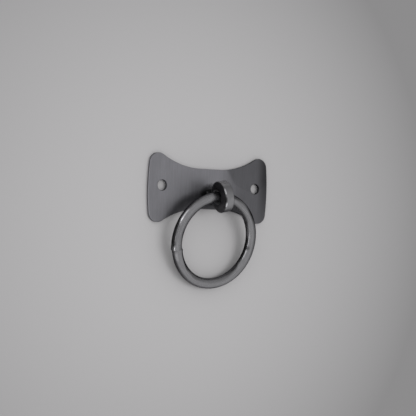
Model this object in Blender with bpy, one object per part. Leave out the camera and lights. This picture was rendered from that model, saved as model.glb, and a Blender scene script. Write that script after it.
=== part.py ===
# Cabinet ring pull: a bow-tie backplate, a forged eye riveted through it, and a welded ring of
# round bar that hangs in the eye.
# Metres, +Z up. The plate stands upright with its back on the plane Y = 0 and its front towards -Y,
# and the origin is at the middle of its back face.

import math

import bmesh
import bpy
from mathutils import Matrix, Vector

MM = 0.001

# Backplate: a sheet whose long edges run straight at the waist and then sweep out to four rounded
# corners, with two faintly bowed ends
PLATE_WIDTH = 76.0 * MM
PLATE_THICKNESS = 1.6 * MM
WAIST_HEIGHT = 21.3 * MM
WAIST_FLAT_LENGTH = 12.0 * MM
WAIST_ARC_RADIUS = 45.5 * MM
END_ARC_RADIUS = 129.0 * MM
CORNER_RADIUS = 5.2 * MM
PLATE_EDGE_RADIUS = 0.35 * MM

# Screw holes, drilled a little above the middle line
SCREW_HOLE_DIAMETER = 5.5 * MM
SCREW_HOLE_END_DISTANCE = 8.2 * MM
SCREW_HOLE_HEIGHT = 1.2 * MM
SCREW_HOLE_EASE = 0.35 * MM

# Ring: round bar, bent to a circle and butt-welded on its left limb
BAR_DIAMETER = 5.5 * MM
RING_RADIUS = 23.4 * MM
WELD_ANGLE = math.radians(255.0)
END_MISMATCH = 0.4 * MM
WELD_BEAD_HEIGHT = 0.22 * MM
WELD_BEAD_LENGTH = 1.3 * MM
WELD_STEP_LENGTH = 0.3 * MM

# Eye: an upright oval disc with a cross hole for the ring, on a neck and a riveted tenon. It was
# riveted a little askew, so the disc is twisted about the neck
EYE_TALL = 16.6 * MM
EYE_DEEP = 13.7 * MM
EYE_THICKNESS = 5.2 * MM
EYE_EDGE_RADIUS = 0.4 * MM
EYE_TWIST = math.radians(-9.8)
EYE_HEIGHT = -3.8 * MM
HOLE_BACK_WALL = 1.3 * MM
BAR_PLAY = 1.9 * MM
BAR_SAG = 0.25 * MM
HOLE_MOUTH_RADIUS = 0.8 * MM
NECK_LENGTH = 4.7 * MM
SHOULDER_DIAMETER = 7.8 * MM
SHOULDER_RIM = 0.5 * MM
ROOT_LENGTH = 3.4 * MM
ROOT_TIP_SHARE = 0.96
NECK_BITE = 0.9 * MM
TENON_DIAMETER = 5.6 * MM
RIVET_FLARE = 1.0 * MM
RIVET_DEPTH = 0.9 * MM
RIVET_RECESS = 0.15 * MM

# Clearance between pieces that touch on the real object
SEAT_GAP = 0.3 * MM

# Facets
WAIST_STEPS = 14
CORNER_STEPS = 8
END_STEPS = 4
EDGE_STEPS = 4
TURNED_SIDES = 40
ROOT_STEPS = 8
EYE_SIDES = 80
RING_STATIONS = 128
WELD_CROWDING = 0.85
BAR_SIDES = 24
SHARP_ANGLE = math.radians(35.0)

# Worked out from the above
SCREW_HOLE_X = PLATE_WIDTH / 2 - SCREW_HOLE_END_DISTANCE
EYE_HOLE_RADIUS = (BAR_DIAMETER + BAR_PLAY) / 2
SHOULDER_Y = -(PLATE_THICKNESS + SEAT_GAP)
EYE_BACK_Y = SHOULDER_Y - NECK_LENGTH
EYE_Y = EYE_BACK_Y - EYE_DEEP / 2
HOLE_Y = EYE_BACK_Y - HOLE_BACK_WALL - EYE_HOLE_RADIUS
BAR_Z = EYE_HEIGHT - BAR_SAG


def clear_scene():
    for thing in list(bpy.data.objects):
        bpy.data.objects.remove(thing, do_unlink=True)


def metal(name, color, roughness):
    """A plain steel finish."""
    finish = bpy.data.materials.new(name)
    finish.use_nodes = True
    shader = finish.node_tree.nodes["Principled BSDF"]
    shader.inputs["Base Color"].default_value = (*color, 1.0)
    shader.inputs["Metallic"].default_value = 1.0
    shader.inputs["Roughness"].default_value = roughness
    finish.diffuse_color = (*color, 1.0)
    return finish


def link_mesh(name, mesh, finish=None):
    """Puts a finished bmesh into the scene, round faces smooth and true edges sharp."""
    bmesh.ops.recalc_face_normals(mesh, faces=mesh.faces)
    data = bpy.data.meshes.new(name)
    mesh.to_mesh(data)
    mesh.free()
    data.shade_smooth()
    data.set_sharp_from_angle(angle=SHARP_ANGLE)
    thing = bpy.data.objects.new(name, data)
    bpy.context.scene.collection.objects.link(thing)
    if finish is not None:
        data.materials.append(finish)
    return thing


def skin(loops, wrap=False):
    """Joins loops of equally many points into one solid, capped at both ends or joined end to end."""
    mesh = bmesh.new()
    rows = [[mesh.verts.new(point) for point in loop] for loop in loops]
    pairs = list(zip(rows, rows[1:]))
    if wrap:
        pairs.append((rows[-1], rows[0]))
    else:
        mesh.faces.new(list(reversed(rows[0])))
        mesh.faces.new(rows[-1])
    for row, following in pairs:
        for i in range(len(row)):
            j = (i + 1) % len(row)
            mesh.faces.new((row[i], row[j], following[j], following[i]))
    return mesh


def hide_tool(tool):
    """A cutter or a joined form: it shapes another object and isn't a piece of its own."""
    tool.hide_render = True
    tool.display_type = "WIRE"


def boolean(target, tool, operation):
    hide_tool(tool)
    change = target.modifiers.new(tool.name, "BOOLEAN")
    change.operation = operation
    change.solver = "EXACT"
    change.object = tool


def turned(name, profile, centre, axis):
    """A solid turned about an axis through centre. The profile lists (radius, place on the axis)."""
    along = Vector(axis)
    across = along.orthogonal().normalized()
    upright = along.cross(across)
    loops = []
    for radius, place in profile:
        loop = []
        for i in range(TURNED_SIDES):
            angle = math.tau * i / TURNED_SIDES
            spoke = across * math.cos(angle) + upright * math.sin(angle)
            loop.append(Vector(centre) + along * place + spoke * radius)
        loops.append(loop)
    return link_mesh(name, skin(loops))


def quarter(radius, steps):
    """Points of a quarter round as (inset, depth), from the face inwards to the full outline."""
    points = []
    for i in range(steps + 1):
        angle = 0.5 * math.pi * i / steps
        points.append((radius * (1 - math.sin(angle)), radius * (1 - math.cos(angle))))
    return points


def arc(centre, radius, start, end, steps):
    """Points along an arc of the XZ plane, without its last one."""
    points = []
    for i in range(steps):
        angle = start + (end - start) * i / steps
        points.append((centre[0] + radius * math.cos(angle), centre[1] + radius * math.sin(angle)))
    return points


def corner_centre(waist, end):
    """Centre of the corner round, which touches the waist arc from outside and the end arc from inside."""
    to_waist = WAIST_ARC_RADIUS + CORNER_RADIUS
    to_end = END_ARC_RADIUS - CORNER_RADIUS
    span = math.dist(waist, end)
    along = (to_waist**2 - to_end**2 + span**2) / (2 * span)
    off = math.sqrt(to_waist**2 - along**2)
    step_x, step_z = (end[0] - waist[0]) / span, (end[1] - waist[1]) / span
    foot = (waist[0] + step_x * along, waist[1] + step_z * along)
    sides = [(foot[0] - step_z * off, foot[1] + step_x * off), (foot[0] + step_z * off, foot[1] - step_x * off)]
    return max(sides)


def plate_outline(inset):
    """The bow-tie outline in X and Z, drawn in by inset all round."""
    waist = (WAIST_FLAT_LENGTH / 2, WAIST_HEIGHT / 2 + WAIST_ARC_RADIUS)
    end = (PLATE_WIDTH / 2 - END_ARC_RADIUS, 0.0)
    corner = corner_centre(waist, end)
    at_waist = math.atan2(corner[1] - waist[1], corner[0] - waist[0])
    at_end = math.atan2(corner[1] - end[1], corner[0] - end[0])
    quadrant = [(0.0, WAIST_HEIGHT / 2 - inset)]
    quadrant += arc(waist, WAIST_ARC_RADIUS + inset, -math.pi / 2, at_waist, WAIST_STEPS)
    quadrant += arc(corner, CORNER_RADIUS - inset, at_waist + math.pi, at_end, CORNER_STEPS)
    quadrant += arc(end, END_ARC_RADIUS - inset, at_end, 0.0, END_STEPS)
    tip = (PLATE_WIDTH / 2 - inset, 0.0)
    right = quadrant + [tip] + [(x, -z) for x, z in reversed(quadrant)]
    left = [(-x, z) for x, z in reversed(right[1:-1])]
    return right + left


def build_backplate(finish):
    """The sheet with its eased edges, two screw holes and the countersunk hole for the eye's tenon."""
    ease = quarter(PLATE_EDGE_RADIUS, EDGE_STEPS)
    layers = [(inset, -PLATE_THICKNESS + depth) for inset, depth in ease]
    layers += [(inset, -depth) for inset, depth in reversed(ease)]
    loops = [[Vector((x, y, z)) for x, z in plate_outline(inset)] for inset, y in layers]
    plate = link_mesh("backplate", skin(loops), finish)

    overrun = PLATE_THICKNESS
    hole_radius = SCREW_HOLE_DIAMETER / 2
    front = [(hole_radius + inset, PLATE_THICKNESS - depth) for inset, depth in quarter(SCREW_HOLE_EASE, EDGE_STEPS)]
    widest = hole_radius + SCREW_HOLE_EASE
    profile = [(widest, PLATE_THICKNESS + overrun)] + front + [(hole_radius, -overrun)]
    for side, name in ((-1, "left"), (1, "right")):
        centre = (side * SCREW_HOLE_X, 0.0, SCREW_HOLE_HEIGHT)
        cutter = turned(f"screw_hole_{name}", profile, centre, (0, -1, 0))
        boolean(plate, cutter, "DIFFERENCE")

    tenon_hole = TENON_DIAMETER / 2 + SEAT_GAP
    flare_start = RIVET_RECESS + RIVET_DEPTH + SEAT_GAP
    slope = RIVET_FLARE / RIVET_DEPTH
    profile = [
        (tenon_hole, PLATE_THICKNESS + overrun),
        (tenon_hole, flare_start),
        (tenon_hole + flare_start * slope, 0.0),
        (tenon_hole + flare_start * slope, -overrun),
    ]
    cutter = turned("tenon_hole", profile, (0, 0, EYE_HEIGHT), (0, -1, 0))
    boolean(plate, cutter, "DIFFERENCE")
    return plate


def eye_outline(inset, x):
    """The disc's oval outline, drawn in by inset, at the place x through its thickness."""
    twist = Matrix.Rotation(EYE_TWIST, 3, "Y")
    centre = Vector((0.0, EYE_Y, EYE_HEIGHT))
    points = []
    for i in range(EYE_SIDES):
        angle = math.tau * i / EYE_SIDES
        across = (EYE_DEEP / 2 - inset) * math.cos(angle)
        up = (EYE_TALL / 2 - inset) * math.sin(angle)
        points.append(centre + twist @ Vector((x, across, up)))
    return points


def build_eye(finish):
    """The forged disc with its bell-mouthed cross hole, the neck behind it and the riveted tenon."""
    ease = quarter(EYE_EDGE_RADIUS, EDGE_STEPS)
    half = EYE_THICKNESS / 2
    loops = [eye_outline(inset, -half + depth) for inset, depth in ease]
    loops += [eye_outline(inset, half - depth) for inset, depth in reversed(ease)]
    eye = link_mesh("ring_eye", skin(loops), finish)

    tenon_radius = TENON_DIAMETER / 2
    shoulder_radius = SHOULDER_DIAMETER / 2
    tip_radius = EYE_THICKNESS / 2 * ROOT_TIP_SHARE
    shoulder = -SHOULDER_Y
    profile = [(tenon_radius + RIVET_FLARE, RIVET_RECESS), (tenon_radius, RIVET_RECESS + RIVET_DEPTH)]
    profile += [(tenon_radius, shoulder), (shoulder_radius, shoulder)]
    for i in range(ROOT_STEPS + 1):
        angle = 0.5 * math.pi * i / ROOT_STEPS
        radius = tip_radius + (shoulder_radius - tip_radius) * (1 - math.sin(angle))
        profile.append((radius, shoulder + SHOULDER_RIM + ROOT_LENGTH * (1 - math.cos(angle))))
    profile.append((tip_radius, shoulder + NECK_LENGTH + NECK_BITE))
    neck = turned("neck_and_tenon", profile, (0, 0, EYE_HEIGHT), (0, -1, 0))
    boolean(eye, neck, "UNION")

    mouth = [(EYE_HOLE_RADIUS + inset, half - depth) for inset, depth in quarter(HOLE_MOUTH_RADIUS, EDGE_STEPS)]
    widest = EYE_HOLE_RADIUS + HOLE_MOUTH_RADIUS
    profile = [(widest, EYE_THICKNESS)] + mouth
    profile += [(radius, -place) for radius, place in reversed(mouth)] + [(widest, -EYE_THICKNESS)]
    across = Matrix.Rotation(EYE_TWIST, 3, "Y") @ Vector((1, 0, 0))
    cutter = turned("ring_hole", profile, (0, HOLE_Y, EYE_HEIGHT), across)
    boolean(eye, cutter, "DIFFERENCE")
    return eye


def ring_lean():
    """How far the hanging ring leans, so that its lowest point just clears the wall behind it."""
    throw = -HOLE_Y - BAR_DIAMETER / 2 - SEAT_GAP
    return math.asin(throw / (2 * RING_RADIUS))


def ring_station(turn):
    """Bar centre at a share of the way round from the weld, clockwise from the front, and its spoke."""
    angle = WELD_ANGLE + math.tau * turn
    radius = RING_RADIUS + END_MISMATCH * (0.5 - turn)
    spoke = Vector((math.sin(angle), 0.0, math.cos(angle)))
    return spoke * radius, spoke


def build_ring(finish):
    """The round bar swept from one side of the weld to the other, with the weld's low bead."""
    top = ring_station(1 - WELD_ANGLE / math.tau)[0]
    length = math.tau * RING_RADIUS
    step = WELD_STEP_LENGTH / length
    loops = []
    for i in range(RING_STATIONS + 1):
        even = i / RING_STATIONS
        crowded = even - WELD_CROWDING * math.sin(math.tau * even) / math.tau
        turn = step / 2 + (1 - step) * crowded
        centre, spoke = ring_station(turn)
        from_weld = min(turn, 1 - turn) * length
        bead = WELD_BEAD_HEIGHT * math.exp(-((from_weld / WELD_BEAD_LENGTH) ** 2))
        loop = []
        for k in range(BAR_SIDES):
            around = math.tau * k / BAR_SIDES
            arm = spoke * math.cos(around) + Vector((0.0, 1.0, 0.0)) * math.sin(around)
            loop.append(centre - top + arm * (BAR_DIAMETER / 2 + bead))
        loops.append(loop)
    ring = link_mesh("ring", skin(loops, wrap=True), finish)
    ring.location = (0.0, HOLE_Y, BAR_Z)
    ring.rotation_euler = (ring_lean(), 0.0, 0.0)
    return ring


def main():
    clear_scene()
    plate_steel = metal("brushed_plate_steel", (0.17, 0.17, 0.18), 0.42)
    eye_steel = metal("forged_eye_steel", (0.15, 0.15, 0.155), 0.36)
    bar_steel = metal("polished_bar_steel", (0.20, 0.20, 0.21), 0.24)
    base = bpy.data.objects.new("ring_pull", None)
    bpy.context.scene.collection.objects.link(base)
    for piece in (build_backplate(plate_steel), build_eye(eye_steel), build_ring(bar_steel)):
        piece.parent = base


main()
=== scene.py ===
import math

import bmesh
import bpy
from mathutils import Matrix, Vector


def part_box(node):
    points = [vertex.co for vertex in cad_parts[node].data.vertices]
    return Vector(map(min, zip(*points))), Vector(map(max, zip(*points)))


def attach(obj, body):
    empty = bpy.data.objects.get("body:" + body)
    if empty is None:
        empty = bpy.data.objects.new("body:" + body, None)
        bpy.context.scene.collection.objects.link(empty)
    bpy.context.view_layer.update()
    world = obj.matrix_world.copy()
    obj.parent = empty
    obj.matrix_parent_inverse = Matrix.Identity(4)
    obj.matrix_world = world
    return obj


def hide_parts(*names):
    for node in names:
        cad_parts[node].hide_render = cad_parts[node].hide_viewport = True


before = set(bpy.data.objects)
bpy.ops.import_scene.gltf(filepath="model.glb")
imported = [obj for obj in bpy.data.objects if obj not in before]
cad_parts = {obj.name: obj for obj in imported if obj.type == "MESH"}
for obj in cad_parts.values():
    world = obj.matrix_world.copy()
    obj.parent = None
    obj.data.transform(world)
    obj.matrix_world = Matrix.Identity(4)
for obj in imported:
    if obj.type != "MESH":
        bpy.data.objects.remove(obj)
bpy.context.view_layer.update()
mm = 0.001
scene = bpy.context.scene
print("frame loaded:", sorted(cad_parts))


# Node trees: a wire is a socket that writes its own Math nodes
class Wire:
    def __init__(self, tree, socket=None):
        self.tree = tree
        self.socket = socket

    def node(self, kind, settings=None, inputs=None, output=0):
        made = self.tree.nodes.new(kind)
        for key, value in (settings or {}).items():
            setattr(made, key, value)
        for key, value in (inputs or {}).items():
            if isinstance(value, Wire):
                self.tree.links.new(value.socket, made.inputs[key])
            else:
                made.inputs[key].default_value = value
        return Wire(self.tree, made.outputs[output] if made.outputs else None)

    def math(self, operation, *values):
        return self.node("ShaderNodeMath", {"operation": operation}, dict(enumerate(values)))

    def __add__(self, other):
        return self.math("ADD", self, other)

    def __radd__(self, other):
        return self.math("ADD", other, self)

    def __sub__(self, other):
        return self.math("SUBTRACT", self, other)

    def __rsub__(self, other):
        return self.math("SUBTRACT", other, self)

    def __mul__(self, other):
        return self.math("MULTIPLY", self, other)

    def __rmul__(self, other):
        return self.math("MULTIPLY", other, self)

    def __truediv__(self, other):
        return self.math("DIVIDE", self, other)

    def __pow__(self, other):
        return self.math("POWER", self, other)

    def sin(self):
        return self.math("SINE", self)

    def cos(self):
        return self.math("COSINE", self)

    def abs(self):
        return self.math("ABSOLUTE", self)

    def lesser(self, other):
        return self.math("MINIMUM", self, other)

    def greater(self, other):
        return self.math("MAXIMUM", self, other)

    # 0 at the value low and 1 at high, eased, held flat outside them
    def step(self, low, high):
        settings = {"interpolation_type": "SMOOTHSTEP"}
        return self.node("ShaderNodeMapRange", settings, {"Value": self, "From Min": low, "From Max": high})

    # an eased way through stops of (place, value)
    def course(self, stops):
        total = stops[0][1]
        for (start, low), (end, high) in zip(stops, stops[1:]):
            total = self.step(start, end) * (high - low) + total
        return total

    # a straight slope between two results
    def slope(self, low, high, start, end):
        inputs = {"Value": self, "From Min": low, "From Max": high, "To Min": start, "To Max": end}
        return self.node("ShaderNodeMapRange", {}, inputs)

    # 1 within the core of a middle value, 0 past its reach
    def near(self, middle, reach, core):
        return (self - middle).abs().step(reach, core)

    # 1 where this mask is 0, and the given tone where it is 1
    def toned(self, tone):
        return 1.0 - self * (1.0 - tone)


def millimetres(wire):
    place = wire.node("ShaderNodeTexCoord", output="Object")
    return wire.node("ShaderNodeVectorMath", {"operation": "SCALE"}, {0: place, "Scale": 1 / mm})


def split(wire, vector):
    made = wire.node("ShaderNodeSeparateXYZ", inputs={0: vector})
    outputs = made.socket.node.outputs
    return [Wire(wire.tree, outputs[i]) for i in range(3)]


def hypot(first, second):
    return (first ** 2.0 + second ** 2.0) ** 0.5


# A noise between 0 and 1, drawn out lengthwise where its form has a stretch
def noise(wire, vector, form):
    if "stretch" in form:
        settings = {"operation": "MULTIPLY"}
        vector = wire.node("ShaderNodeVectorMath", settings, {0: vector, 1: form["stretch"]})
    inputs = {"Vector": vector, "Scale": form["scale"], "Detail": form["detail"]}
    inputs["Roughness"] = form.get("roughness", 0.55)
    return wire.node("ShaderNodeTexNoise", {}, inputs, "Fac")


# The tones that a noise gives, from the first of its form to the second
def mottled(wire, form):
    return wire.slope(*form["span"], *form["tones"])


# What a noise adds or takes away where it leaves its middle value
def drift(wire, reach):
    return (wire - 0.5) * reach


def tinted(wire, tint, tone):
    settings = {"data_type": "RGBA", "blend_type": "MULTIPLY"}
    grey = wire.node("ShaderNodeCombineColor", inputs={0: tone, 1: tone, 2: tone})
    return wire.node("ShaderNodeMix", settings, {0: 1.0, 6: tint, 7: grey}, 2)


def material(name):
    made = bpy.data.materials.new(name)
    made.use_nodes = True
    made.node_tree.nodes.clear()
    return made, Wire(made.node_tree)


# The edge tint keeps steel from turning white where it is seen at a grazing angle
def finishMetal(wire, form, tone, roughness, height):
    inputs = {"Base Color": tinted(wire, form["tint"], tone), "Roughness": roughness}
    inputs["Normal"] = wire.node("ShaderNodeBump", inputs={"Height": height, "Distance": form["bump"]})
    inputs |= {"Metallic": 1.0, "Specular Tint": form["edgeTint"]}
    surface = wire.node("ShaderNodeBsdfPrincipled", inputs=inputs)
    wire.node("ShaderNodeOutputMaterial", inputs={"Surface": surface})


# How much a soft oval spot darkens the plate. Its start and end are counted in its own radii
def spot(x, z, form):
    far = hypot((x - form["x"]) / form["wide"], (z - form["z"]) / form["tall"])
    return far.step(form["end"], form["start"]) * (1.0 - form["tone"])


# Finishes: places and lengths in millimetres, tones as shares of the tint. Of a noise, rough, lift,
# wander, blur and ragged say how far it moves the roughness, the bump and the edges of the marks
plateFinish = {
    "tint": (0.238, 0.236, 0.254, 1.0),
    "edgeTint": (0.30, 0.30, 0.31, 1.0),
    "roughness": 0.44,
    "bump": 0.012 * mm,
    "cloud": {"scale": 0.09, "detail": 4.0, "span": (0.3, 0.7), "tones": (0.93, 1.07),
              "wander": 2.0, "rough": 0.10},
    "smoke": {"scale": 0.55, "detail": 4.0, "blur": 3.6},
    "streaks": {"stretch": (2.2, 2.2, 0.10), "scale": 1.0, "detail": 4.0, "roughness": 0.6,
                "span": (0.25, 0.75), "tones": (0.90, 1.10), "wander": 2.5, "rough": 0.10, "lift": 0.6},
    "grain": {"scale": 3.2, "detail": 3.0, "span": (0.3, 0.7), "tones": (0.97, 1.03),
              "blur": 1.2, "lift": 0.4},
    # dark marks: the upper right, the right half and the right end; the ring's painted shadow along its
    # outer edge; painted shade round the eye's root and beside the ring on its right; and painted shade on
    # the walls of the screw holes
    "patch": {"x": 27.0, "z": 15.0, "wide": 1.0, "tall": 1.0, "start": 14.8, "end": 18.6, "tone": 0.50},
    "right": {"x": (4.0, 20.0), "tone": 0.54},
    "end": {"x": (29.5, 37.0), "z": (-17.0, 6.0), "lowShare": 0.35, "tone": 0.36},
    "ringShadow": {"x": -4.0, "z": -27.0, "wide": 1.0, "tall": 1.0, "start": 23.3, "end": 27.6, "tone": 0.40},
    "neck": {"x": 0.3, "z": -3.0, "wide": 6.6, "tall": 5.6, "start": 0.72, "end": 1.22, "tone": 0.20},
    "shade": {"x": 16.5, "z": -10.4, "wide": 5.6, "tall": 3.4, "start": 0.5, "end": 1.3, "tone": 0.40},
    "bore": {"from": 0.3, "to": 0.1, "tone": 0.45},
}


def plateSteel():
    form = plateFinish
    made, wire = material("waxedPlateSteel")
    place = millimetres(wire)
    x, _, z = split(wire, place)
    cloud = noise(wire, place, form["cloud"])
    smoke = noise(wire, place, form["smoke"])
    streaks = noise(wire, place, form["streaks"])
    grain = noise(wire, place, form["grain"])
    wander = drift(cloud, form["cloud"]["wander"]) + drift(streaks, form["streaks"]["wander"])
    blur = drift(smoke, form["smoke"]["blur"]) + drift(grain, form["grain"]["blur"])
    patch = spot(x + wander, z, form["patch"])
    right = x.step(*form["right"]["x"]) * (1.0 - form["right"]["tone"])
    end = (x + wander).step(*form["end"]["x"]) * z.slope(*form["end"]["z"], form["end"]["lowShare"], 1.0)
    # painted shade round the eye's root and beside the ring, and the ring's painted shadow on the plate
    neck = spot(x + blur, z + blur, form["neck"])
    shade = spot(x, z, form["shade"])
    ringShadow = spot(x + blur, z + blur, form["ringShadow"])
    # painted shade on the walls of the screw holes
    fromBore = hypot(x.abs() - plateForm["holeX"] / mm, z - plateForm["holeHeight"] / mm)
    radius = plateForm["holeDiameter"] / 2 / mm
    bore = fromBore.step(radius + form["bore"]["from"], radius + form["bore"]["to"])
    tone = (1.0 - patch.greater(right)) * end.toned(form["end"]["tone"])
    tone = tone * (1.0 - neck) * (1.0 - shade.greater(ringShadow)) * bore.toned(form["bore"]["tone"])
    tone = tone * mottled(cloud, form["cloud"]) * mottled(streaks, form["streaks"])
    tone = tone * mottled(grain, form["grain"])
    rough = drift(cloud, form["cloud"]["rough"]) + drift(streaks, form["streaks"]["rough"])
    height = streaks * form["streaks"]["lift"] + grain * form["grain"]["lift"]
    finishMetal(wire, form, tone, rough + form["roughness"], height)
    return made


# On the eye, bands are given as their middle, how far they reach and how far they are full
eyeFinish = {
    "tint": (0.250, 0.248, 0.258, 1.0),
    "edgeTint": (0.55, 0.55, 0.56, 1.0),
    "roughness": 0.30,
    "recessRoughness": 0.35,
    "ridgePolish": 0.08,
    "bump": 0.02 * mm,
    "cloud": {"scale": 0.35, "detail": 4.0, "span": (0.3, 0.7), "tones": (0.90, 1.10),
              "rough": 0.2, "lift": 0.6},
    "grain": {"scale": 4.0, "detail": 3.0, "span": (0.3, 0.7), "tones": (0.95, 1.05), "lift": 0.4},
    # painted shade on the eye's flat left face
    "side": {"edgeShare": 0.3, "tone": 0.38},
    "rim": (0.90, 0.94),
    # worn, polished edge of the rim, painted brighter as highlights at the two glints, with painted shade
    # in the gap between them
    "ridge": {"inset": 0.3, "reach": 0.65, "core": 0.25, "tone": 3.2},
    "glints": ((3.0, 2.0, 0.8), (-4.1, 1.3, 0.52)),
    "glintGap": {"up": (-1.2, 1.6, 0.8), "inset": (1.0, 0.5), "tone": 0.3},
    # painted shade on the neck under the disc
    "recess": {"from": -0.6, "to": 0.8, "tone": 0.09},
    # painted light in the cross hole
    "hole": {"from": 0.7, "to": 0.2, "tone": 1.6},
    # painted shade towards the eye's top and bottom, painted light on the rim's top, painted shade along
    # its far edge
    "upper": {"up": (-2.0, 5.0), "tones": (1.0, 0.50)},
    "lower": {"up": (-8.0, -4.0), "tones": (0.70, 1.0)},
    "top": {"up": (5.0, 8.0), "tone": 2.4},
    "far": {"from": 0.6, "to": 0.1, "tone": 0.45},
}


# Places on the eye, from its middle and turned with it: across its thickness, upwards, the depth,
# the share of the way out to its rim, and the distance from the middle of its cross hole
def eyePlaces(wire, place):
    x, y, z = split(wire, place)
    twist, height = eyeForm["twist"], z - eyeForm["z"] / mm
    across = x * math.cos(twist) - height * math.sin(twist)
    up = x * math.sin(twist) + height * math.cos(twist)
    deep = (y - eyeForm["y"] / mm) / (eyeForm["deep"] / 2 / mm)
    tall = up / (eyeForm["tall"] / 2 / mm)
    return across, up, y, hypot(deep, tall), hypot(y - eyeForm["holeY"] / mm, up)


def eyeSteel():
    form = eyeFinish
    made, wire = material("forgedEyeSteel")
    place = millimetres(wire)
    across, up, y, share, fromHole = eyePlaces(wire, place)
    half, edge = eyeForm["half"] / mm, eyeForm["edge"] / mm
    neckEnd, holeRadius = -eyeForm["neckEnd"] / mm, eyeForm["hole"] / mm
    cloud = noise(wire, place, form["cloud"])
    grain = noise(wire, place, form["grain"])
    # painted shade on the eye's flat left face
    side = across.step(edge - half, form["side"]["edgeShare"] * edge - half)
    rim = share.step(*form["rim"])
    # worn, polished edge of the rim with painted highlights at the glints and painted shade between them
    ridge = across.near(form["ridge"]["inset"] - half, form["ridge"]["reach"], form["ridge"]["core"]) * rim
    glints = 0.0
    for glint in form["glints"]:
        glints = up.near(*glint) + glints
    glintGap = up.near(*form["glintGap"]["up"]) * (across + half).step(*form["glintGap"]["inset"]) * rim
    # painted shade on the neck under the disc
    recess = y.step(neckEnd + form["recess"]["from"], neckEnd + form["recess"]["to"])
    # painted light in the cross hole
    hole = fromHole.step(holeRadius + form["hole"]["from"], holeRadius + form["hole"]["to"])
    # painted light on the rim's top and painted shade along its far edge
    top = up.step(*form["top"]["up"]) * rim
    far = across.step(half - form["far"]["from"], half - form["far"]["to"]) * rim
    tone = side.toned(form["side"]["tone"]) * (ridge * glints).toned(form["ridge"]["tone"])
    tone = tone * glintGap.toned(form["glintGap"]["tone"]) * recess.toned(form["recess"]["tone"])
    tone = tone * hole.toned(form["hole"]["tone"]) * top.toned(form["top"]["tone"])
    tone = tone * far.toned(form["far"]["tone"])
    # painted shade towards the eye's top and bottom
    for part in ("upper", "lower"):
        tone = tone * up.slope(*form[part]["up"], *form[part]["tones"])
    tone = tone * mottled(cloud, form["cloud"]) * mottled(grain, form["grain"])
    rough = form["roughness"] + drift(cloud, form["cloud"]["rough"])
    rough = rough - ridge * form["ridgePolish"] + recess.greater(hole) * form["recessRoughness"]
    height = cloud * form["cloud"]["lift"] + grain * form["grain"]["lift"]
    finishMetal(wire, form, tone, rough, height)
    return made


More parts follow.
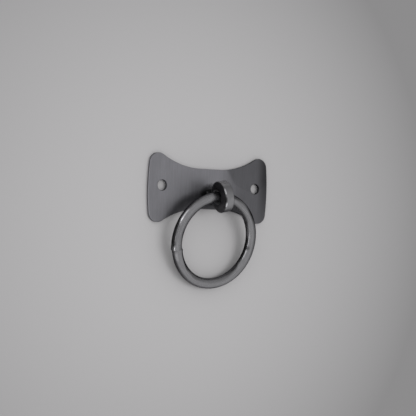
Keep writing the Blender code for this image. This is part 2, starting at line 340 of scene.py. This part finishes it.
# The view is the way from the ring to the camera, in the leaning ring's own axes. The dark scale
# and painted shade along the bar's two edges have their stops as (share of the way round from the
# weld, value): where across the bar they start, over how much they grow, and the tone that they give
ringFinish = {
    "tint": (0.243, 0.241, 0.251, 1.0),
    "edgeTint": (0.30, 0.30, 0.31, 1.0),
    "roughness": 0.26,
    "bump": 0.015 * mm,
    "view": (-0.56, -0.816, 0.152),
    "cloud": {"scale": 0.25, "detail": 4.0, "span": (0.3, 0.7), "tones": (0.94, 1.06),
              "ragged": 0.20, "rough": 0.14},
    "draws": {"stretch": (0.12, 2.3, 2.3), "scale": 1.0, "detail": 4.0, "roughness": 0.65,
              "span": (0.25, 0.75), "tones": (-1.0, 1.0), "ragged": 0.50, "rough": 0.16, "lift": 0.5},
    "drawDepth": ((0.60, 0.24), (0.78, 0.08)),
    "grain": {"scale": 4.0, "detail": 3.0, "span": (0.3, 0.7), "tones": (0.96, 1.04), "lift": 0.5},
    "outer": {
        "start": ((0.0, 0.42), (0.025, -0.05), (0.08, 0.0), (0.11, 0.50), (0.135, 0.50), (0.16, 0.10),
                  (0.22, -0.2), (0.27, -0.2), (0.34, 0.1), (0.41, 0.34), (0.5, 0.40), (0.66, 0.50),
                  (0.86, 0.25), (0.9, 0.1), (0.95, 0.2), (0.985, 0.4)),
        "span": ((0.0, 0.25), (0.04, 0.45), (0.09, 0.40), (0.13, 0.30), (0.17, 0.7), (0.22, 0.9),
                 (0.27, 0.6), (0.34, 0.45), (0.41, 0.38), (0.66, 0.35), (0.88, 0.6), (0.95, 0.5),
                 (0.985, 0.3)),
        "tone": ((0.0, 0.45), (0.025, 0.12), (0.06, 0.15), (0.10, 0.26), (0.16, 0.42), (0.22, 0.66),
                 (0.26, 0.80), (0.33, 0.30), (0.375, 0.60), (0.43, 0.11), (0.47, 0.45), (0.56, 0.55),
                 (0.66, 0.75), (0.70, 1.0), (0.84, 1.0), (0.875, 0.85), (0.906, 0.60), (0.94, 0.36),
                 (0.97, 0.28), (1.0, 0.45)),
    },
    "inner": {
        "start": ((0.0, 0.3), (0.05, 0.6), (0.09, 0.45), (0.25, 0.35), (0.36, 0.1), (0.44, 0.0),
                  (0.47, 0.3), (0.5, 0.35), (0.53, 0.05), (0.545, 0.05), (0.56, -0.45), (0.575, 0.35),
                  (0.63, 0.4), (0.66, 0.0), (0.72, -0.3), (0.78, -0.2), (0.81, 0.0), (0.85, 0.1),
                  (0.91, 0.45), (0.97, 0.7)),
        "span": ((0.0, 0.6), (0.05, 0.25), (0.09, 0.45), (0.25, 0.45), (0.36, 0.5), (0.44, 0.6),
                 (0.54, 0.7), (0.56, 1.0), (0.58, 0.3), (0.66, 0.5), (0.72, 0.7), (0.8, 0.6),
                 (0.9, 0.3), (0.97, 0.25)),
        "tone": ((0.0, 0.62), (0.03, 0.75), (0.06, 0.30), (0.09, 0.55), (0.19, 0.60), (0.25, 0.80),
                 (0.37, 0.60), (0.43, 0.36), (0.47, 0.12), (0.5, 0.30), (0.53, 0.08), (0.6, 0.10),
                 (0.625, 0.14), (0.66, 0.34), (0.69, 0.44), (0.72, 0.58), (0.78, 0.68), (0.85, 0.52),
                 (0.88, 0.48), (0.94, 0.13), (0.97, 0.18), (1.0, 0.62)),
    },
    # a worn streak on the upper left, painted brighter as a highlight
    "wornGlint": {"turn": (0.122, 0.028, 0.0112), "across": (0.42, 0.17, 0.068), "ragged": 0.3, "tone": 2.3},
    # painted shade on the stretch of bar in the eye, where the eye shades it
    "gripShade": {"left": (-4.7, -4.1), "right": (8.2, 6.6), "begins": (0.15, 0.2), "ends": (0.5, 0.4),
             "tone": 0.80},
    "weld": {"before": 3.2, "along": (3.0, 1.2), "across": (0.25, 0.45, 0.15), "tone": 1.35},
}


# How much the dark scale and painted shade along one edge of the bar darken it
def scaleAndShadeEdge(place, turn, form):
    start = turn.course(form["start"])
    return ((place - start) / turn.course(form["span"])).step(0.0, 1.0) * (1.0 - turn.course(form["tone"]))


# The bar's finish, drawn along it: the places were stored on the mesh by the sweep. The share of
# the way round is 0 and 1 at the weld, about 0.28 at the top and 0.78 at the bottom. Across the bar
# as the camera sees it is 1 at its outer edge and -1 at its inner one
def ringSteel():
    form = ringFinish
    made, wire = material("drawnBarSteel")
    place = millimetres(wire)
    x = split(wire, place)[0]
    along = wire.node("ShaderNodeAttribute", {"attribute_name": "barPlace"}, output="Vector")
    length = math.tau * ringForm["Ring Radius"] / mm
    distance, outward, front = split(wire, along)
    turn = distance / length
    outward = outward / (ringForm["Bar Radius"] / mm)
    front = front / (ringForm["Bar Radius"] / mm)
    angle = turn * math.tau + ringForm["Weld Angle"]
    viewX, viewY, viewZ = form["view"]
    aside = angle.sin() * viewX + angle.cos() * viewZ
    across = (outward * -viewY + aside * front) / ((aside * aside + viewY * viewY) ** 0.5)
    cloud = noise(wire, place, form["cloud"])
    grain = noise(wire, place, form["grain"])
    draws = noise(wire, along, form["draws"])
    ragged = drift(cloud, form["cloud"]["ragged"]) + drift(draws, form["draws"]["ragged"])
    # dark scale and painted shade along the bar's outer and inner edges
    outer = scaleAndShadeEdge(across + ragged, turn, form["outer"])
    inner = scaleAndShadeEdge(across * -1.0 + ragged, turn, form["inner"])
    # painted shade on the stretch of bar in the eye
    gripShade = x.step(*form["gripShade"]["left"]) * x.step(*form["gripShade"]["right"])
    gripShade = gripShade * turn.step(*form["gripShade"]["begins"]) * turn.step(*form["gripShade"]["ends"])
    weld = distance.near(length - form["weld"]["before"], *form["weld"]["along"])
    weld = weld * across.near(*form["weld"]["across"])
    # worn streak painted brighter as a highlight
    wornGlint = turn.near(*form["wornGlint"]["turn"])
    wornGlint = wornGlint * (across + ragged * form["wornGlint"]["ragged"]).near(*form["wornGlint"]["across"])
    tone = (1.0 - outer) * (1.0 - inner) * gripShade.toned(form["gripShade"]["tone"])
    tone = tone * weld.toned(form["weld"]["tone"]) * wornGlint.toned(form["wornGlint"]["tone"])
    tone = tone * mottled(cloud, form["cloud"]) * mottled(grain, form["grain"])
    tone = tone * (1.0 + mottled(draws, form["draws"]) * turn.course(form["drawDepth"]))
    rough = drift(cloud, form["cloud"]["rough"]) + drift(draws, form["draws"]["rough"])
    height = draws * form["draws"]["lift"] + grain * form["grain"]["lift"]
    finishMetal(wire, form, tone, rough + form["roughness"], height)
    return made


# Mesh helpers: skin joins each loop of points to the next one with a band of faces
def skin(mesh, loops):
    rows = [[mesh.verts.new(point) for point in loop] for loop in loops]
    for row, following in zip(rows, rows[1:]):
        for i in range(len(row)):
            j = (i + 1) % len(row)
            mesh.faces.new((row[i], row[j], following[j], following[i]))
    return rows


def fillBetween(mesh, rows):
    edges = []
    for row in rows:
        for i in range(len(row)):
            edges.append(mesh.edges.get((row[i], row[i - 1])))
    bmesh.ops.triangle_fill(mesh, use_beauty=True, edges=edges)


# A quarter round for an edge, as pairs of how far in and how deep
def quarter(radius, steps):
    points = []
    for i in range(steps + 1):
        angle = 0.5 * math.pi * i / steps
        points.append((radius * (1 - math.sin(angle)), radius * (1 - math.cos(angle))))
    return points


def settle(name, mesh, finish, sharp):
    bmesh.ops.recalc_face_normals(mesh, faces=mesh.faces)
    data = bpy.data.meshes.new(name)
    mesh.to_mesh(data)
    mesh.free()
    data.shade_smooth()
    data.set_sharp_from_angle(angle=math.radians(sharp))
    data.materials.append(finish)
    made = bpy.data.objects.new(name, data)
    scene.collection.objects.link(made)
    return made


# Turns what the modifiers make into the object's own plain mesh
def takeMesh(owner, name, sharp=None):
    graph = bpy.context.evaluated_depsgraph_get()
    data = bpy.data.meshes.new_from_object(owner.evaluated_get(graph))
    data.name = name
    if sharp is not None:
        data.shade_smooth()
        data.set_sharp_from_angle(angle=math.radians(sharp))
    owner.modifiers.clear()
    owner.data = data


# Backplate: the bow-tie sheet, its eased edges and its three holes
plateForm = {
    "width": 76.0 * mm,
    "thickness": 1.6 * mm,
    "waist": 21.3 * mm,
    "waistFlat": 12.0 * mm,
    "waistArc": 45.5 * mm,
    "endArc": 129.0 * mm,
    "corner": 5.2 * mm,
    "edge": 0.35 * mm,
    "holeDiameter": 5.5 * mm,
    "holeX": 29.8 * mm,
    "holeHeight": 1.2 * mm,
    "holeEase": 0.35 * mm,
    "tenonHole": 3.1 * mm,
    "flare": 4.6 * mm,
    "flareDepth": 1.35 * mm,
    "eyeHeight": -3.8 * mm,
    "support": 0.15 * mm,  # flat margin round each edge, which keeps the shading of the faces flat
    "backEase": 0.1 * mm,
    "easeSteps": 6,
    "sharp": 40.0,
}


def arc(centre, radius, start, end, steps):
    points = []
    for i in range(steps):
        angle = start + (end - start) * i / steps
        points.append((centre[0] + radius * math.cos(angle), centre[1] + radius * math.sin(angle)))
    return points


# The outline from its waist, corner and end arcs, which meet smoothly, drawn in by the inset
def plateOutline(inset, waistSteps=36, cornerSteps=16, endSteps=10):
    form = plateForm
    waist = Vector((form["waistFlat"] / 2, form["waist"] / 2 + form["waistArc"]))
    end = Vector((form["width"] / 2 - form["endArc"], 0.0))
    toWaist = form["waistArc"] + form["corner"]
    toEnd = form["endArc"] - form["corner"]
    span = (end - waist).length
    along = (toWaist**2 - toEnd**2 + span**2) / (2 * span)
    off = math.sqrt(toWaist**2 - along**2)
    step = (end - waist) / span
    side = Vector((-step.y, step.x))
    foot = waist + step * along
    corner = max((foot + side * off, foot - side * off), key=lambda point: point.x)
    atWaist = math.atan2(corner.y - waist.y, corner.x - waist.x)
    atEnd = math.atan2(corner.y - end.y, corner.x - end.x)
    quadrant = [(0.0, form["waist"] / 2 - inset)]
    quadrant += arc(waist, form["waistArc"] + inset, -math.pi / 2, atWaist, waistSteps)
    quadrant += arc(corner, form["corner"] - inset, atWaist + math.pi, atEnd, cornerSteps)
    quadrant += arc(end, form["endArc"] - inset, atEnd, 0.0, endSteps)
    right = quadrant + [(form["width"] / 2 - inset, 0.0)] + [(x, -z) for x, z in reversed(quadrant)]
    return right + [(-x, z) for x, z in reversed(right[1:-1])]


def circle(radius, x, z, sides=64):
    turns = [math.tau * i / sides for i in range(sides)]
    return [(x + radius * math.cos(turn), z + radius * math.sin(turn)) for turn in turns]


def buildBackplate(finish):
    form = plateForm
    thick = form["thickness"]
    mesh = bmesh.new()
    ease = quarter(form["edge"], form["easeSteps"])
    layers = [(form["edge"] + form["support"], -thick)]
    layers += [(inset, -thick + depth) for inset, depth in ease]
    layers += [(inset, -depth) for inset, depth in reversed(ease)]
    layers += [(form["edge"] + form["support"], 0.0)]
    outer = skin(mesh, [[(x, y, z) for x, z in plateOutline(inset)] for inset, y in layers])
    fronts, backs = [outer[0]], [outer[-1]]

    radius, back = form["holeDiameter"] / 2, form["backEase"]
    punched = [(radius + form["holeEase"] + form["support"], -thick)]
    ease = quarter(form["holeEase"], form["easeSteps"])
    punched += [(radius + inset, -thick + depth) for inset, depth in ease]
    punched += [(radius, -back), (radius + back, 0.0), (radius + back + form["support"], 0.0)]
    tenon = [(form["tenonHole"] + form["support"], -thick), (form["tenonHole"], -thick)]
    tenon.append((form["tenonHole"], -form["flareDepth"]))
    tenon += [(form["flare"], 0.0), (form["flare"] + form["support"], 0.0)]
    holes = [(side * form["holeX"], form["holeHeight"], punched) for side in (-1, 1)]
    holes.append((0.0, form["eyeHeight"], tenon))
    for x, z, profile in holes:
        rows = skin(mesh, [[(px, y, pz) for px, pz in circle(r, x, z)] for r, y in profile])
        fronts.append(rows[0])
        backs.append(rows[-1])
    fillBetween(mesh, fronts)
    fillBetween(mesh, backs)
    return settle("backplateSheet", mesh, finish, form["sharp"])


# Eye: the forged oval disc round its cross hole, with its neck, shoulder and riveted tenon
eyeForm = {
    "y": -13.45 * mm,
    "z": -3.8 * mm,
    "deep": 13.7 * mm,
    "tall": 16.6 * mm,
    "half": 2.6 * mm,
    "edge": 0.4 * mm,
    "twist": math.radians(-9.8),
    "holeY": -11.6 * mm,
    "hole": 3.7 * mm,
    "mouth": 0.8 * mm,
    "shoulder": 3.9 * mm,
    "shoulderY": -1.9 * mm,
    "rim": 0.5 * mm,
    "rimEase": 0.12 * mm,
    "rootLength": 3.4 * mm,
    "tip": 2.5 * mm,
    "neckEnd": 7.5 * mm,
    "tenon": 2.8 * mm,
    "rivet": 3.8 * mm,
    "rivetDepth": 0.9 * mm,
    "recess": 0.15 * mm,
    "easeSteps": 8,
    "mouthSteps": 10,
    "rootSteps": 20,
    "discSides": 160,
    "sides": 96,
    "blankSharp": 50.0,
    "sharp": 40.0,
}


def closed(mesh, loops):
    rows = skin(mesh, loops)
    mesh.faces.new(rows[0])
    mesh.faces.new(rows[-1])
    return mesh


def eyeDisc(finish):
    form = eyeForm
    twist = Matrix.Rotation(form["twist"], 3, "Y")
    centre = Vector((0.0, form["y"], form["z"]))
    ease = quarter(form["edge"], form["easeSteps"])
    layers = [(inset, depth - form["half"]) for inset, depth in ease]
    layers += [(inset, form["half"] - depth) for inset, depth in reversed(ease)]
    loops = []
    for inset, x in layers:
        oval = circle(1.0, 0.0, 0.0, form["discSides"])
        deep, tall = form["deep"] / 2 - inset, form["tall"] / 2 - inset
        loops.append([centre + twist @ Vector((x, deep * across, tall * up)) for across, up in oval])
    return settle("forgedEye", closed(bmesh.new(), loops), finish, form["blankSharp"])


def eyeRoot(finish):
    form = eyeForm
    start = -form["shoulderY"]
    profile = [(form["rivet"], form["recess"]), (form["tenon"], form["recess"] + form["rivetDepth"])]
    profile += [(form["tenon"], start), (form["shoulder"] - form["rimEase"], start)]
    profile.append((form["shoulder"], start + form["rimEase"]))
    for i in range(form["rootSteps"] + 1):
        turn = 0.5 * math.pi * i / form["rootSteps"]
        radius = form["tip"] + (form["shoulder"] - form["tip"]) * (1 - math.sin(turn))
        profile.append((radius, start + form["rim"] + form["rootLength"] * (1 - math.cos(turn))))
    profile.append((form["tip"], form["neckEnd"]))
    loops = []
    for radius, place in profile:
        loops.append([(x, -place, z) for x, z in circle(radius, 0.0, form["z"], form["sides"])])
    return settle("eyeRoot", closed(bmesh.new(), loops), finish, form["blankSharp"])


def eyeHole(finish):
    form = eyeForm
    twist = Matrix.Rotation(form["twist"], 3, "Y")
    centre = Vector((0.0, form["holeY"], form["z"]))
    ease = quarter(form["mouth"], form["mouthSteps"])
    mouth = [(form["hole"] + inset, form["half"] - depth) for inset, depth in ease]
    beyond = [(form["hole"] + form["mouth"], 2 * form["half"])]
    profile = beyond + mouth
    profile += [(radius, -x) for radius, x in reversed(profile)]
    loops = []
    for radius, x in profile:
        around = circle(radius, 0.0, 0.0, form["sides"])
        loops.append([centre + twist @ Vector((x, across, up)) for across, up in around])
    return settle("eyeHole", closed(bmesh.new(), loops), finish, form["blankSharp"])


def buildEye(finish):
    eye = eyeDisc(finish)
    for tool, operation in ((eyeRoot(finish), "UNION"), (eyeHole(finish), "DIFFERENCE")):
        change = eye.modifiers.new("shape", "BOOLEAN")
        change.operation = operation
        change.solver = "EXACT"
        change.object = tool
        takeMesh(eye, "forgedEye", eyeForm["sharp"])
        bpy.data.objects.remove(tool)
    return eye


# Ring: a bar swept round by Geometry Nodes, from one side of its weld to the other
ringForm = {
    "Ring Radius": 23.4 * mm,
    "Bar Radius": 2.75 * mm,
    "End Mismatch": 0.4 * mm,
    "Weld Angle": math.radians(258.5),
    "Weld Step": 0.3 * mm,
    "Bead Height": 0.22 * mm,
    "Bead Length": 1.3 * mm,
}
ringPlace = {
    "y": -11.6 * mm,
    "z": -4.05 * mm,
    "gap": 0.3 * mm,  # from the lowest bar to the surface that the ring leans on
    "stations": 480,
    "sides": 48,
    "crowding": 0.85,  # how much closer the stations stand at the weld
    "merge": 0.0005 * mm,
}


def ringTree(finish):
    tree = bpy.data.node_groups.new("weldedRing", "GeometryNodeTree")
    tree.interface.new_socket("Geometry", in_out="OUTPUT", socket_type="NodeSocketGeometry")
    for name in ringForm:
        tree.interface.new_socket(name, in_out="INPUT", socket_type="NodeSocketFloat")
    wire = Wire(tree)
    given = tree.nodes.new("NodeGroupInput")
    form = {name: Wire(tree, given.outputs[name]) for name in ringForm}
    stations, sides = ringPlace["stations"], ringPlace["sides"]
    size = {"Size X": 1.0, "Size Y": 1.0, "Vertices X": stations + 1, "Vertices Y": sides + 1}
    sheet = wire.node("GeometryNodeMeshGrid", {}, size)
    across, along, _ = split(wire, wire.node("GeometryNodeInputPosition"))
    even = across + 0.5
    around = (along + 0.5) * math.tau
    turn = even - (even * math.tau).sin() * (ringPlace["crowding"] / math.tau)
    length = form["Ring Radius"] * math.tau
    fromWeld = turn.lesser(1.0 - turn) * length
    ramp = (fromWeld / (form["Weld Step"] * 0.5)).lesser(1.0)
    radius = form["Ring Radius"] + form["End Mismatch"] * (0.5 - turn) * ramp
    nearness = fromWeld / form["Bead Length"]
    bar = form["Bar Radius"] + form["Bead Height"] * (wire.math("EXPONENT", nearness * nearness * -1.0))
    angle = form["Weld Angle"] + turn * math.tau
    outward, depth = around.cos() * bar, around.sin() * bar
    reach = radius + outward
    topTurn = 1.0 - form["Weld Angle"] / math.tau
    topRadius = form["Ring Radius"] + form["End Mismatch"] * (0.5 - topTurn)
    point = {0: angle.sin() * reach, 1: depth, 2: angle.cos() * reach - topRadius}
    point = wire.node("ShaderNodeCombineXYZ", {}, point)
    barPlace = {0: turn * length / mm, 1: outward / mm, 2: depth / mm}
    barPlace = wire.node("ShaderNodeCombineXYZ", {}, barPlace)
    settings = {"data_type": "FLOAT_VECTOR", "domain": "POINT"}
    inputs = {"Geometry": sheet, "Name": "barPlace", "Value": barPlace}
    marked = wire.node("GeometryNodeStoreNamedAttribute", settings, inputs)
    swept = wire.node("GeometryNodeSetPosition", {}, {"Geometry": marked, "Position": point})
    inputs = {"Geometry": swept, "Distance": ringPlace["merge"]}
    merged = wire.node("GeometryNodeMergeByDistance", {}, inputs)
    smooth = wire.node("GeometryNodeSetShadeSmooth", {}, {"Geometry": merged, "Shade Smooth": True})
    real = wire.node("GeometryNodeRealizeInstances", {}, {"Geometry": smooth})
    clad = wire.node("GeometryNodeSetMaterial", {}, {"Geometry": real, "Material": finish})
    wire.node("NodeGroupOutput", {}, {"Geometry": clad})
    return tree


def buildRing(finish):
    ring = bpy.data.objects.new("weldedRing", bpy.data.meshes.new("weldedRing"))
    scene.collection.objects.link(ring)
    sweep = ring.modifiers.new("sweep", "NODES")
    sweep.node_group = ringTree(finish)
    for item in sweep.node_group.interface.items_tree:
        if item.in_out == "INPUT":
            sweep[item.identifier] = ringForm[item.name]
    takeMesh(ring, "weldedRing")
    throw = -ringPlace["y"] - ringForm["Bar Radius"] - ringPlace["gap"]
    lean = math.asin(throw / (2 * ringForm["Ring Radius"]))
    place = Matrix.Translation((0.0, ringPlace["y"], ringPlace["z"])) @ Matrix.Rotation(lean, 4, "X")
    ring.data.transform(place)
    tidy = bmesh.new()
    tidy.from_mesh(ring.data)
    bmesh.ops.recalc_face_normals(tidy, faces=tidy.faces)
    tidy.to_mesh(ring.data)
    tidy.free()
    return ring


# Wall and floor, seen only from their front. The wall is open behind the plate, with a small disc a
# little further back behind each screw hole. Its pool of light is given in millimetres
stageForm = {
    "wide": 1.2,
    "wallY": 0.05 * mm,
    "hidden": 1.2 * mm,  # how far the wall goes in behind the plate's edge
    "backingY": 0.8 * mm,
    "backingRim": 1.5 * mm,
    "backingSides": 32,
    "floorZ": -0.19,
    "tint": (0.470, 0.464, 0.470, 1.0),
    "poolX": 128.0,
    "poolZ": 106.0,
    "poolMiddle": -10.0,
    "poolFall": (0.195, 0.14),
    "poolLean": (0.085, 0.02),
    "dimmest": 0.55,
}


# The paint is left out for camera rays from behind, so the object shows from every side. The floor
# is also left out of what the object reflects and is lit by, which is the even room
def paleSurface(name, unseen):
    made, wire = material(name)
    behind = wire.node("ShaderNodeNewGeometry", output="Backfacing")
    seen = wire.node("ShaderNodeLightPath", output="Is Camera Ray")
    x, _, z = split(wire, millimetres(wire))
    u, v = x / stageForm["poolX"], (z - stageForm["poolMiddle"]) / stageForm["poolZ"]
    fallX, fallZ = stageForm["poolFall"]
    leanX, leanZ = stageForm["poolLean"]
    tone = 1.0 - u * u * fallX - u * leanX - v * v * fallZ - v * leanZ
    color = tinted(wire, stageForm["tint"], tone.greater(stageForm["dimmest"]))
    inputs = {"Base Color": color, "Roughness": 1.0, "Specular IOR Level": 0.0}
    paint = wire.node("ShaderNodeBsdfPrincipled", inputs=inputs)
    clear = wire.node("ShaderNodeBsdfTransparent")
    leftOut = (behind * seen).greater((1.0 - seen) * unseen)
    mixed = wire.node("ShaderNodeMixShader", inputs={0: leftOut, 1: paint, 2: clear})
    wire.node("ShaderNodeOutputMaterial", inputs={"Surface": mixed})
    return made


def buildStage():
    form = stageForm
    wide, y, floorZ = form["wide"], form["wallY"], form["floorZ"]
    mesh = bmesh.new()
    border = ((-wide, floorZ), (wide, floorZ), (wide, wide), (-wide, wide))
    opening = plateOutline(form["hidden"], waistSteps=12, cornerSteps=6, endSteps=4)
    rows = []
    for outline in (border, opening):
        rows.append([mesh.verts.new((x, y, z)) for x, z in outline])
        for i in range(len(outline)):
            mesh.edges.new((rows[-1][i - 1], rows[-1][i]))
    fillBetween(mesh, rows)
    radius = plateForm["holeDiameter"] / 2 + form["backingRim"]
    for side in (-1, 1):
        disc = circle(radius, side * plateForm["holeX"], plateForm["holeHeight"], form["backingSides"])
        mesh.faces.new([mesh.verts.new((x, form["backingY"], z)) for x, z in disc])
    for face in mesh.faces:
        face.normal_update()
        if face.normal.y > 0:
            face.normal_flip()
    data = bpy.data.meshes.new("wall")
    mesh.to_mesh(data)
    mesh.free()
    data.materials.append(paleSurface("paleWall", 0.0))
    wall = bpy.data.objects.new("wall", data)
    scene.collection.objects.link(wall)
    data = bpy.data.meshes.new("floor")
    corners = ((-wide, -2 * wide), (wide, -2 * wide), (wide, y), (-wide, y))
    data.from_pydata([(x, depth, floorZ) for x, depth in corners], [], [(0, 1, 2, 3)])
    data.materials.append(paleSurface("paleFloor", 1.0))
    floor = bpy.data.objects.new("floor", data)
    scene.collection.objects.link(floor)


# Light: an even pale room, a soft key from the right, and on the left a tall narrow lamp that makes
# only the reflections
lampForm = {
    "key": {
        "azimuth": 20.0,
        "elevation": 1.5,
        "distance": 0.9,
        "wide": 0.47,
        "tall": 0.47,
        "radiance": 2.95,
        "glossy": False,
    },
    "glint": {
        "azimuth": -76.0,
        "elevation": 0.0,
        "distance": 0.8,
        "wide": 0.07,
        "tall": 0.80,
        "radiance": 8.0,
        "glossy": True,
    },
}
roomForm = {"tone": 0.783, "backdrop": 0.5}


def direction(azimuth, elevation):
    a, e = math.radians(azimuth), math.radians(elevation)
    return Vector((math.sin(a) * math.cos(e), -math.cos(a) * math.cos(e), math.sin(e)))


def buildLamps():
    for name, form in lampForm.items():
        data = bpy.data.lights.new(name, "AREA")
        data.shape = "RECTANGLE"
        data.size = form["wide"]
        data.size_y = form["tall"]
        data.energy = math.pi * form["wide"] * form["tall"] * form["radiance"]
        lamp = bpy.data.objects.new(name, data)
        lamp.visible_camera = False
        lamp.visible_glossy = form["glossy"]
        lamp.visible_diffuse = not form["glossy"]
        away = direction(form["azimuth"], form["elevation"])
        lamp.location = away * form["distance"]
        lamp.rotation_mode = "QUATERNION"
        lamp.rotation_quaternion = away.to_track_quat("Z", "Y")
        scene.collection.objects.link(lamp)
    world = bpy.data.worlds.new("room")
    world.use_nodes = True
    world.node_tree.nodes.clear()
    wire = Wire(world.node_tree)
    seen = wire.node("ShaderNodeLightPath", output="Is Camera Ray")
    strength = roomForm["tone"] + seen * (roomForm["backdrop"] - roomForm["tone"])
    air = wire.node("ShaderNodeBackground", inputs={"Color": (1.0, 1.0, 1.0, 1.0), "Strength": strength})
    wire.node("ShaderNodeOutputWorld", inputs={"Surface": air})
    scene.world = world


# Camera, as the photograph was taken
cameraForm = {
    "azimuth": -34.0,
    "elevation": 0.03,
    "roll": 1.67,
    "distance": 481.2 * mm,
    "aim": (0.0, 0.0, -9.95 * mm),
    "focalPixels": 900.0,
    "photoPixels": 416.0,
    "sensor": 36.0,
    "clip": (0.01, 20.0),
}


def buildCamera():
    form = cameraForm
    data = bpy.data.cameras.new("camera")
    data.sensor_width = form["sensor"]
    data.lens = form["focalPixels"] / form["photoPixels"] * form["sensor"]
    data.clip_start, data.clip_end = form["clip"]
    camera = bpy.data.objects.new("camera", data)
    turn = Matrix.Rotation(math.radians(form["azimuth"]), 4, "Z")
    tip = Matrix.Rotation(math.radians(90.0 - form["elevation"]), 4, "X")
    roll = Matrix.Rotation(math.radians(form["roll"]), 4, "Z")
    away = direction(form["azimuth"], form["elevation"]) * form["distance"]
    camera.matrix_world = Matrix.Translation(Vector(form["aim"]) + away) @ turn @ tip @ roll
    scene.collection.objects.link(camera)
    scene.camera = camera


# Draws a piece in to the box of its CAD node, from which fine facets would stand out a little
def fitToNode(piece, node):
    low, high = (Vector(corner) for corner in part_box(node))
    corners = [vertex.co for vertex in piece.data.vertices]
    start = Vector([min(co[i] for co in corners) for i in range(3)])
    end = Vector([max(co[i] for co in corners) for i in range(3)])
    scale = Matrix.Diagonal([(high[i] - low[i]) / (end[i] - start[i]) for i in range(3)])
    piece.data.transform(Matrix.Translation(low) @ scale.to_4x4() @ Matrix.Translation(-start))


def dress(piece, body, node):
    fitToNode(piece, node)
    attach(piece, body)
    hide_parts(node)
    print(node, len(piece.data.polygons), "faces")


buildCamera()
buildLamps()
buildStage()
print("stage, lamps and camera ready")
dress(buildBackplate(plateSteel()), "base", "backplate")
dress(buildEye(eyeSteel()), "base", "ring_eye")
dress(buildRing(ringSteel()), "ring", "ring")

scene.view_settings.view_transform = "Standard"
